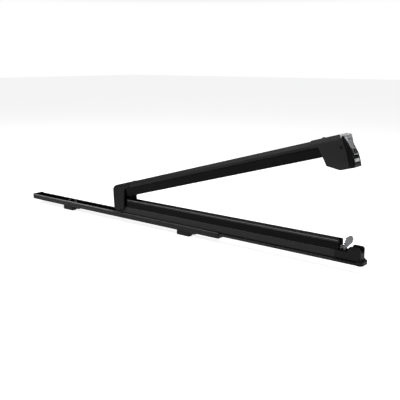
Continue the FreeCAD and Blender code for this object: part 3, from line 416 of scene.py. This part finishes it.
def plated(name, base, rough, streak=(500.0, 500.0, 500.0), stain=(0.36, 0.34, 0.30)):
    """Plated metal with a satin grain, faint clouding and corners brightened as a painted highlight.
    """
    f = Finish(name, base, rough, metallic=1.0)
    grain = f.noise(streak, 3.0, 0.6)
    cloud = f.noise((160.0, 160.0, 160.0), 4.0, 0.6)
    f.tint(f.remap(cloud, 0.45, 0.75), stain, 0.30)
    # painted highlight along the corners
    f.tint(f.edge_mask(0.0004), tuple(min(1.0, c * 1.45) for c in base), 0.7)
    f.roughen(f.remap(grain, 0.3, 0.7), 0.14)
    f.roughen(f.remap(cloud, 0.4, 0.7), 0.06)
    f.relief(grain, 0.00001)
    return f.done(0.0004)


def hook_finish():
    """Bright plate with corners lightened as a painted highlight, and its toothed edge painted
    nearly black as the shade of the teeth's shadowed sides.
    """
    f = Finish("hook_steel", (0.17, 0.175, 0.18), 0.38, metallic=1.0)
    grain = f.noise((300.0, 300.0, 1200.0), 3.0, 0.6)
    cloud = f.noise((220.0, 220.0, 220.0), 4.0, 0.6)
    place = f.axes(f.where)
    along = f.math("MULTIPLY", f.math("SUBTRACT", place["Z"], TOOTH_Z), math.sin(TOOTH_LEAN))
    across = f.math("MULTIPLY", f.math("SUBTRACT", place["X"], TOOTH_X), math.cos(TOOTH_LEAN))
    inward = f.math("SUBTRACT", across, along)
    waver = f.math("MULTIPLY", cloud, 0.002)
    f.tint(f.remap(cloud, 0.45, 0.75), (0.08, 0.08, 0.085), 0.6)
    # painted highlight along the corners
    f.tint(f.edge_mask(0.0004), (0.42, 0.43, 0.44), 0.6)
    # painted shade: the toothed edge is darkened nearly black where the teeth's sides lie in shadow
    f.tint(f.remap(f.math("ADD", inward, waver), *TOOTH_SHADE_BAND), (0.012, 0.012, 0.013))
    f.roughen(f.remap(grain, 0.3, 0.7), 0.14)
    f.relief(grain, 0.00001)
    return f.done(0.0004)


def finger_plate():
    """Satin silver with fine grooves that run down the plate and draw together at the lock; the
    grooves are darkened with painted shade and the corners lightened with a painted highlight.
    """
    f = Finish("satin_silver", (0.52, 0.525, 0.54), 0.38, metallic=1.0)
    grain = f.noise((260.0, 900.0, 260.0), 3.0, 0.6, JAW_TILT)
    cloud = f.noise((160.0, 160.0, 160.0), 4.0, 0.6)
    place = f.axes(f.coords((1.0, 1.0, 1.0), JAW_TILT))
    above_lock = f.math("SUBTRACT", place["Z"], GROOVE_MEET)
    fan = f.math("DIVIDE", place["Y"], above_lock)
    wave = f.math("SINE", f.math("MULTIPLY", fan, GROOVE_TURNS))
    groove = f.remap(wave, 0.45, 0.95)
    # painted shade in the grooves
    f.tint(groove, (0.20, 0.203, 0.21), 0.60)
    f.tint(f.remap(cloud, 0.45, 0.75), (0.40, 0.40, 0.395), 0.4)
    # painted highlight along the corners
    f.tint(f.edge_mask(0.0006), (0.74, 0.75, 0.77), 0.7)
    f.roughen(f.remap(grain, 0.3, 0.7), 0.12)
    f.relief(grain, 0.00001)
    f.relief(groove, -0.00022)
    return f.done(0.0006)


def badge_finish():
    """Satin grey paint on the blank plate, clouded by handling, with corners lightened as a painted
    highlight.
    """
    f = Finish("badge_grey", (0.50, 0.51, 0.53), 0.34)
    cloud = f.noise((240.0, 240.0, 240.0), 3.0, 0.6)
    f.tint(f.remap(cloud, 0.4, 0.7), (0.40, 0.41, 0.43), 0.35)
    f.roughen(f.remap(cloud, 0.35, 0.7), 0.16)
    # painted highlight along the corners
    f.tint(f.edge_mask(0.0004), (0.62, 0.63, 0.65), 0.6)
    f.relief(cloud, 0.00001)
    return f.done(0.0003)


# --- rubber profiles, rebuilt with ribs and drawn walls -----------------------------------
def rounded(points):
    """Outline with each (y, z, radius) corner turned into a short curve; (y, z) stays as it is."""
    line = []
    for i, point in enumerate(points):
        here = Vector(point[:2])
        if len(point) < 3:
            line.append(tuple(here))
            continue
        before = Vector(points[i - 1][:2]) - here
        after = Vector(points[(i + 1) % len(points)][:2]) - here
        half = before.angle(after) / 2
        reach = point[2] / math.tan(half)
        start = here + before.normalized() * reach
        end = here + after.normalized() * reach
        for k in range(ARC_STEPS + 1):
            u = k / ARC_STEPS
            line.append(tuple(start * (1 - u) ** 2 + here * 2 * u * (1 - u) + end * u * u))
    return line


def place_on_jaw(point):
    """Turns (s, y, t) on the jaw into a place on the bar."""
    return Matrix.Rotation(-JAW_TILT, 3, "Y") @ Vector(point) + PIVOT


def finish_mesh(name, form):
    """Turns a bmesh into an object with smooth walls, flat sides and sharp corners."""
    mesh = bpy.data.meshes.new(name)
    form.to_mesh(mesh)
    form.free()
    made = add_to_scene(name, mesh)
    mesh.shade_smooth()
    mesh.set_sharp_from_angle(angle=SHARP_ANGLE)
    flatten = made.modifiers.new("flat_sides", "WEIGHTED_NORMAL")
    flatten.keep_sharp = True
    return made


def strip_ring(form, ring, x, place):
    """One outline at x along a strip, drawn a little unevenly."""
    verts = []
    for y, z in ring:
        spot = Vector((x * WAVER_ALONG, y * WAVER_ACROSS, z * WAVER_ACROSS))
        wobble = noise.noise(spot) * WAVER
        verts.append(form.verts.new(place((x, y + wobble, z + wobble * WAVER_UPWARD))))
    return verts


def strip(name, spans, place):
    """Long profile in one or more spans: rings along each, walls between them, flat ends."""
    form = bmesh.new()
    for outer, holes, start, end in spans:
        stations = max(2, int((end - start) / RING_SPACING))
        rings = [outer] + holes
        loops = []
        for k in range(stations + 1):
            x = start + (end - start) * k / stations
            loops.append([strip_ring(form, ring, x, place) for ring in rings])
        for low_row, high_row in zip(loops, loops[1:]):
            for low, high in zip(low_row, high_row):
                for i in range(len(low)):
                    j = (i + 1) % len(low)
                    form.faces.new((low[i], low[j], high[j], high[i]))
        flat = [[Vector((y, z, 0.0)) for y, z in ring] for ring in rings]
        triangles = tessellate_polygon(flat)
        for row in (loops[0], loops[-1]):
            verts = [v for ring in row for v in ring]
            for corners in triangles:
                form.faces.new([verts[i] for i in corners])
    bmesh.ops.recalc_face_normals(form, faces=form.faces)
    return finish_mesh(name, form)


def block(name, outline, y0, y1, place, rounding):
    """Side outline drawn out across the bar, with rounded edges."""
    form = bmesh.new()
    near = [form.verts.new(place((x, y0, z))) for x, z in outline]
    far = [form.verts.new(place((x, y1, z))) for x, z in outline]
    form.faces.new(near)
    form.faces.new(list(reversed(far)))
    for i in range(len(outline)):
        j = (i + 1) % len(outline)
        form.faces.new((near[j], near[i], far[i], far[j]))
    bmesh.ops.recalc_face_normals(form, faces=form.faces)
    edges = [e for e in form.edges if e.is_manifold and e.calc_face_angle(0.0) > ROUND_ANGLE]
    bmesh.ops.bevel(form, geom=edges, offset=rounding, segments=3, profile=0.5, affect="EDGES")
    return finish_mesh(name, form)


def adopt(piece, body, slot, material, *nodes):
    """Gives a rubber piece its finish and lets it stand for CAD nodes on their body."""
    piece.data.materials.clear()
    piece.data.materials.append(material)
    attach(piece, body)
    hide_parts(*nodes)


def both_sides(half):
    """Mirrors a right-hand outline, given from the seat to the face, to the left."""
    other = [(-p[0],) + p[1:] for p in reversed(half)]
    return half + other


def outward(seat, face):
    """1 where the gripping face lies above the seat, and -1 where it lies below."""
    return 1.0 if face > seat else -1.0


def face_edge(seat, face):
    """Right-hand outline of a pad from its seat, past the side groove, to the gripping face."""
    out = outward(seat, face)
    groove, lip, grip = 11.05, 11.8, 10.2
    rows = [(PAD_HALF, 3.3, 0.3), (groove, 2.7, 0.2), (groove, 1.9, 0.2), (lip, 1.3, 0.3),
            (grip, 0.0, 0.7)]
    foot = (PAD_HALF * MM, seat, 0.7 * MM)
    return [foot] + [(y * MM, face - out * back * MM, radius * MM) for y, back, radius in rows]


def face_ribs(seat, face, count):
    """Fine lengthwise grooves across the gripping face, from its edge inwards."""
    out = outward(seat, face)
    ribs = []
    y = RIB_OUTER
    for _ in range(count):
        for shift, back, radius in RIB_PROFILE:
            ribs.append(((y - shift) * MM, face - out * back * MM, radius * MM))
        y -= RIB_PITCH
    return ribs


def half_pad(seat, face, ribs):
    """Right-hand outline of a pad, from its seat to the innermost rib."""
    return [(GAP_HALF * MM, seat)] + face_edge(seat, face) + face_ribs(seat, face, ribs)


def chamber(y0, y1, z0, z1):
    corner = CHAMBER_CORNER * MM
    return rounded([(y0, z0, corner), (y1, z0, corner), (y1, z1, corner), (y0, z1, corner)])


def chambers(inner, seat, face):
    """The left and right air chambers, between the seat and the gripping face."""
    out = outward(seat, face)
    z0, z1 = sorted((seat + out * CHAMBER_OFF_SEAT * MM, face - out * CHAMBER_OFF_FACE * MM))
    return [chamber(*sorted((side * inner * MM, side * CHAMBER_OUTER * MM)), z0, z1)
            for side in SIDES]


def whole_span(seat, face, start, end):
    """Span of a pad with both its chambers and all its ribs."""
    outline = rounded(both_sides(half_pad(seat, face, RIBS)))
    return outline, chambers(CENTRE_WALL, seat, face), start, end


def lower_pad(material):
    """Three spans: slotted for the heel, whole, and split round the hook."""
    low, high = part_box("lower_pad")
    seat, face = LOWER_SEAT * MM, high.z
    slot_end, gap_start = low.x + HEEL_SLOT_END * MM, GAP_START * MM
    slot = [(HEEL_SLOT_HALF * MM, face, 0.5 * MM),
            (HEEL_SLOT_HALF * MM, HEEL_SLOT_FLOOR * MM, 0.6 * MM)]
    slotted = rounded(both_sides([(GAP_HALF * MM, seat)] + face_edge(seat, face) + slot))
    spans = [(slotted, [], low.x, slot_end), whole_span(seat, face, slot_end, gap_start)]
    half = rounded(half_pad(seat, face, RIBS_BESIDE_GAP) + [(GAP_HALF * MM, face)])
    for side, hole in zip(SIDES, chambers(CHAMBER_BESIDE_GAP, seat, face)):
        spans.append(([(side * y, z) for y, z in half], [hole], gap_start, high.x))
    piece = strip("lower_pad_rubber", spans, Vector)
    adopt(piece, "carriage", "pad_rubber", material, "lower_pad")


def upper_pad(material):
    """Full height under the extrusion, and a little lower where the housings reach over it."""
    spans = [whole_span(seat * MM, UPPER_FACE * MM, start * MM, end * MM) for seat, start, end in
             ((SEAT_UNDER_HOUSING, UPPER_PAD_START, FULL_START),
              (SEAT_UNDER_ARM, FULL_START, FULL_END),
              (SEAT_UNDER_HOUSING, FULL_END, UPPER_PAD_END))]
    piece = strip("upper_pad_rubber", spans, place_on_jaw)
    adopt(piece, "upper_jaw", "pad_rubber", material, "upper_pad")


def upper_heel(material):
    """Rubber tongue with a hollowed front, ribbed across its lower end."""
    side = [(UPPER_PAD_START, UPPER_FACE), (UPPER_PAD_START, HEEL_FOOT + 0.3)]
    s = UPPER_PAD_START + 1.4
    for _ in range(HEEL_RIDGES):
        side += [(s, HEEL_FOOT), (s + 0.9, HEEL_FOOT), (s + 1.2, 16.7), (s + 1.8, 16.7)]
        s += HEEL_RIDGE_PITCH
    side += [(42.9, 16.2), (43.6, 17.4), (43.8, 20.6), (44.3, 24.0), (45.5, 27.0), (47.2, 28.6),
             (49.0, UPPER_FACE)]
    outline = [(s * MM, t * MM) for s, t in side]
    piece = block("upper_heel_rubber", outline, -HEEL_HALF * MM, HEEL_HALF * MM, place_on_jaw,
                  HEEL_ROUNDING * MM)
    adopt(piece, "upper_jaw", "pad_rubber", material, "upper_heel")


def sole_outline(middle, top, bottom):
    """Side of a sole that stands on bars between its grooves."""
    half = SOLE_HALF * MM
    corner = bottom + SOLE_CORNER * MM
    roof = bottom + SOLE_GROOVE_DEPTH * MM
    line = [(middle - half, top), (middle - half, corner)]
    x = middle - half + 1.0 * MM
    for _ in range(SOLE_GROOVES):
        line += [(x, bottom), (x + 2.0 * MM, bottom), (x + 2.3 * MM, roof), (x + 2.9 * MM, roof)]
        x += SOLE_PITCH * MM
    line += [(x, bottom), (middle + half - 0.6 * MM, bottom), (middle + half, corner),
             (middle + half, top)]
    return line


def foot_soles(material):
    """Soft soles with cross grooves, on both sides of each foot's sleeve."""
    low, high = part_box("foot_pads")
    for name, middle in SOLE_MIDDLES:
        outline = sole_outline(middle * MM, high.z, low.z)
        for side, which in zip(SIDES, ("near", "far")):
            y0, y1 = sorted((side * SOLE_INNER * MM, side * SOLE_OUTER * MM))
            piece = block("%s_%s" % (name, which), outline, y0, y1, Vector, SOLE_ROUNDING * MM)
            adopt(piece, "base", "pad_rubber", material, "foot_pads")


# --- finishes on the CAD nodes ------------------------------------------------------------
def paint(material, *names):
    """Gives CAD nodes a finish in all their material slots."""
    for name in names:
        slots = NODES[name].data.materials
        if len(slots) == 0:
            slots.append(material)
        for i in range(len(slots)):
            slots[i] = material


def paint_metals():
    # painted highlight on both rails' sloped shoulders, dimmed on the base under the carriage as
    # painted shade
    base = black_aluminium("black_aluminium_base", 0.13, shoulder_highlight=0.24, highlight_under_carriage=0.12)
    rail = black_aluminium("black_aluminium", 0.17, shoulder_highlight=0.075)
    jaw = black_aluminium("black_aluminium_jaw", 0.13, tilt=JAW_TILT)
    surround = plated("lock_surround", (0.50, 0.505, 0.52), 0.34)
    zinc = plated("zinc_steel", (0.40, 0.41, 0.42), 0.32)
    hook_side = plated("hook_side", (0.30, 0.305, 0.31), 0.34, streak=(300.0, 300.0, 1200.0))
    black_steel = plated("black_steel", (0.012, 0.012, 0.013), 0.42, stain=(0.01, 0.009, 0.008))
    brass = plated("lock_brass", (0.15, 0.145, 0.11), 0.34, stain=(0.08, 0.075, 0.05))
    paint(base, "base_rail")
    paint(rail, "slide_rail")
    paint(jaw, "upper_arm")
    paint(finger_plate(), "button_paddle")
    paint(surround, "lock_boss")
    paint(black_steel, "lock_barrel", "hinge_pin", "button_axle")
    paint(brass, "lock_plug", "lock_cam")
    paint(hook_finish(), "toothed_plate", "hook_rivets")
    paint(hook_side, "hook_plate")
    paint(zinc, "foot_sleeves", "foot_screws", "stow_spring", "stow_spring_screw",
          "travel_stop_screw", "housing_screws", "pin_clip", "ratchet_pin", "ratchet_spring",
          "hinge_rivet", "latch_rivet", "button_spring", "pawl_pin", "pawl_spring", "link_pin",
          "release_link", "pawl")


def paint_plastics():
    shell = moulded("black_plastic", (0.0085, 0.0085, 0.0091), 0.46)
    gloss = moulded("gloss_black", (0.0030, 0.0030, 0.0032), 0.30, 0.000008, specular=0.07,
                    corner_highlight=0.15)
    foot_shell = moulded("foot_plastic", (0.0050, 0.0050, 0.0053), 0.50, specular=0.12)
    hinge_shell = moulded("hinge_plastic", (0.0055, 0.0055, 0.0059), 0.48, specular=0.10)
    nylon = moulded("dark_nylon", (0.0120, 0.0120, 0.0125), 0.52)
    paint(shell, "base_end_cap", "rail_rear_cap", "latch_housing")
    paint(gloss, "front_bezel")
    paint(foot_shell, "rear_foot", "front_foot")
    paint(hinge_shell, "hinge_housing", "front_housing")
    paint(nylon, "base_front_glide", "glide_shoes", "stow_catch", "hinge_bushes",
          "hinge_washers", "travel_stop")
    paint(badge_finish(), "badge_plate")


def fit_rubber():
    # the lower pad gets a painted highlight on its sloped shoulders
    flat = pad_rubber("pad_rubber", 0.0034, 0.05, shoulder_highlight=0.17)
    jaw = pad_rubber("pad_rubber_jaw", 0.0038, 0.05, tilt=JAW_TILT)
    heel = pad_rubber("heel_rubber", 0.0012, 0.02, tilt=JAW_TILT)
    lower_pad(flat)
    upper_pad(jaw)
    upper_heel(heel)
    foot_soles(jaw)


# --- the object ---------------------------------------------------------------------------
make_camera()
make_world()
make_floor()
make_lights()
paint_metals()
paint_plastics()
fit_rubber()

view = bpy.context.scene.view_settings
view.view_transform = "Standard"
view.look = "None"
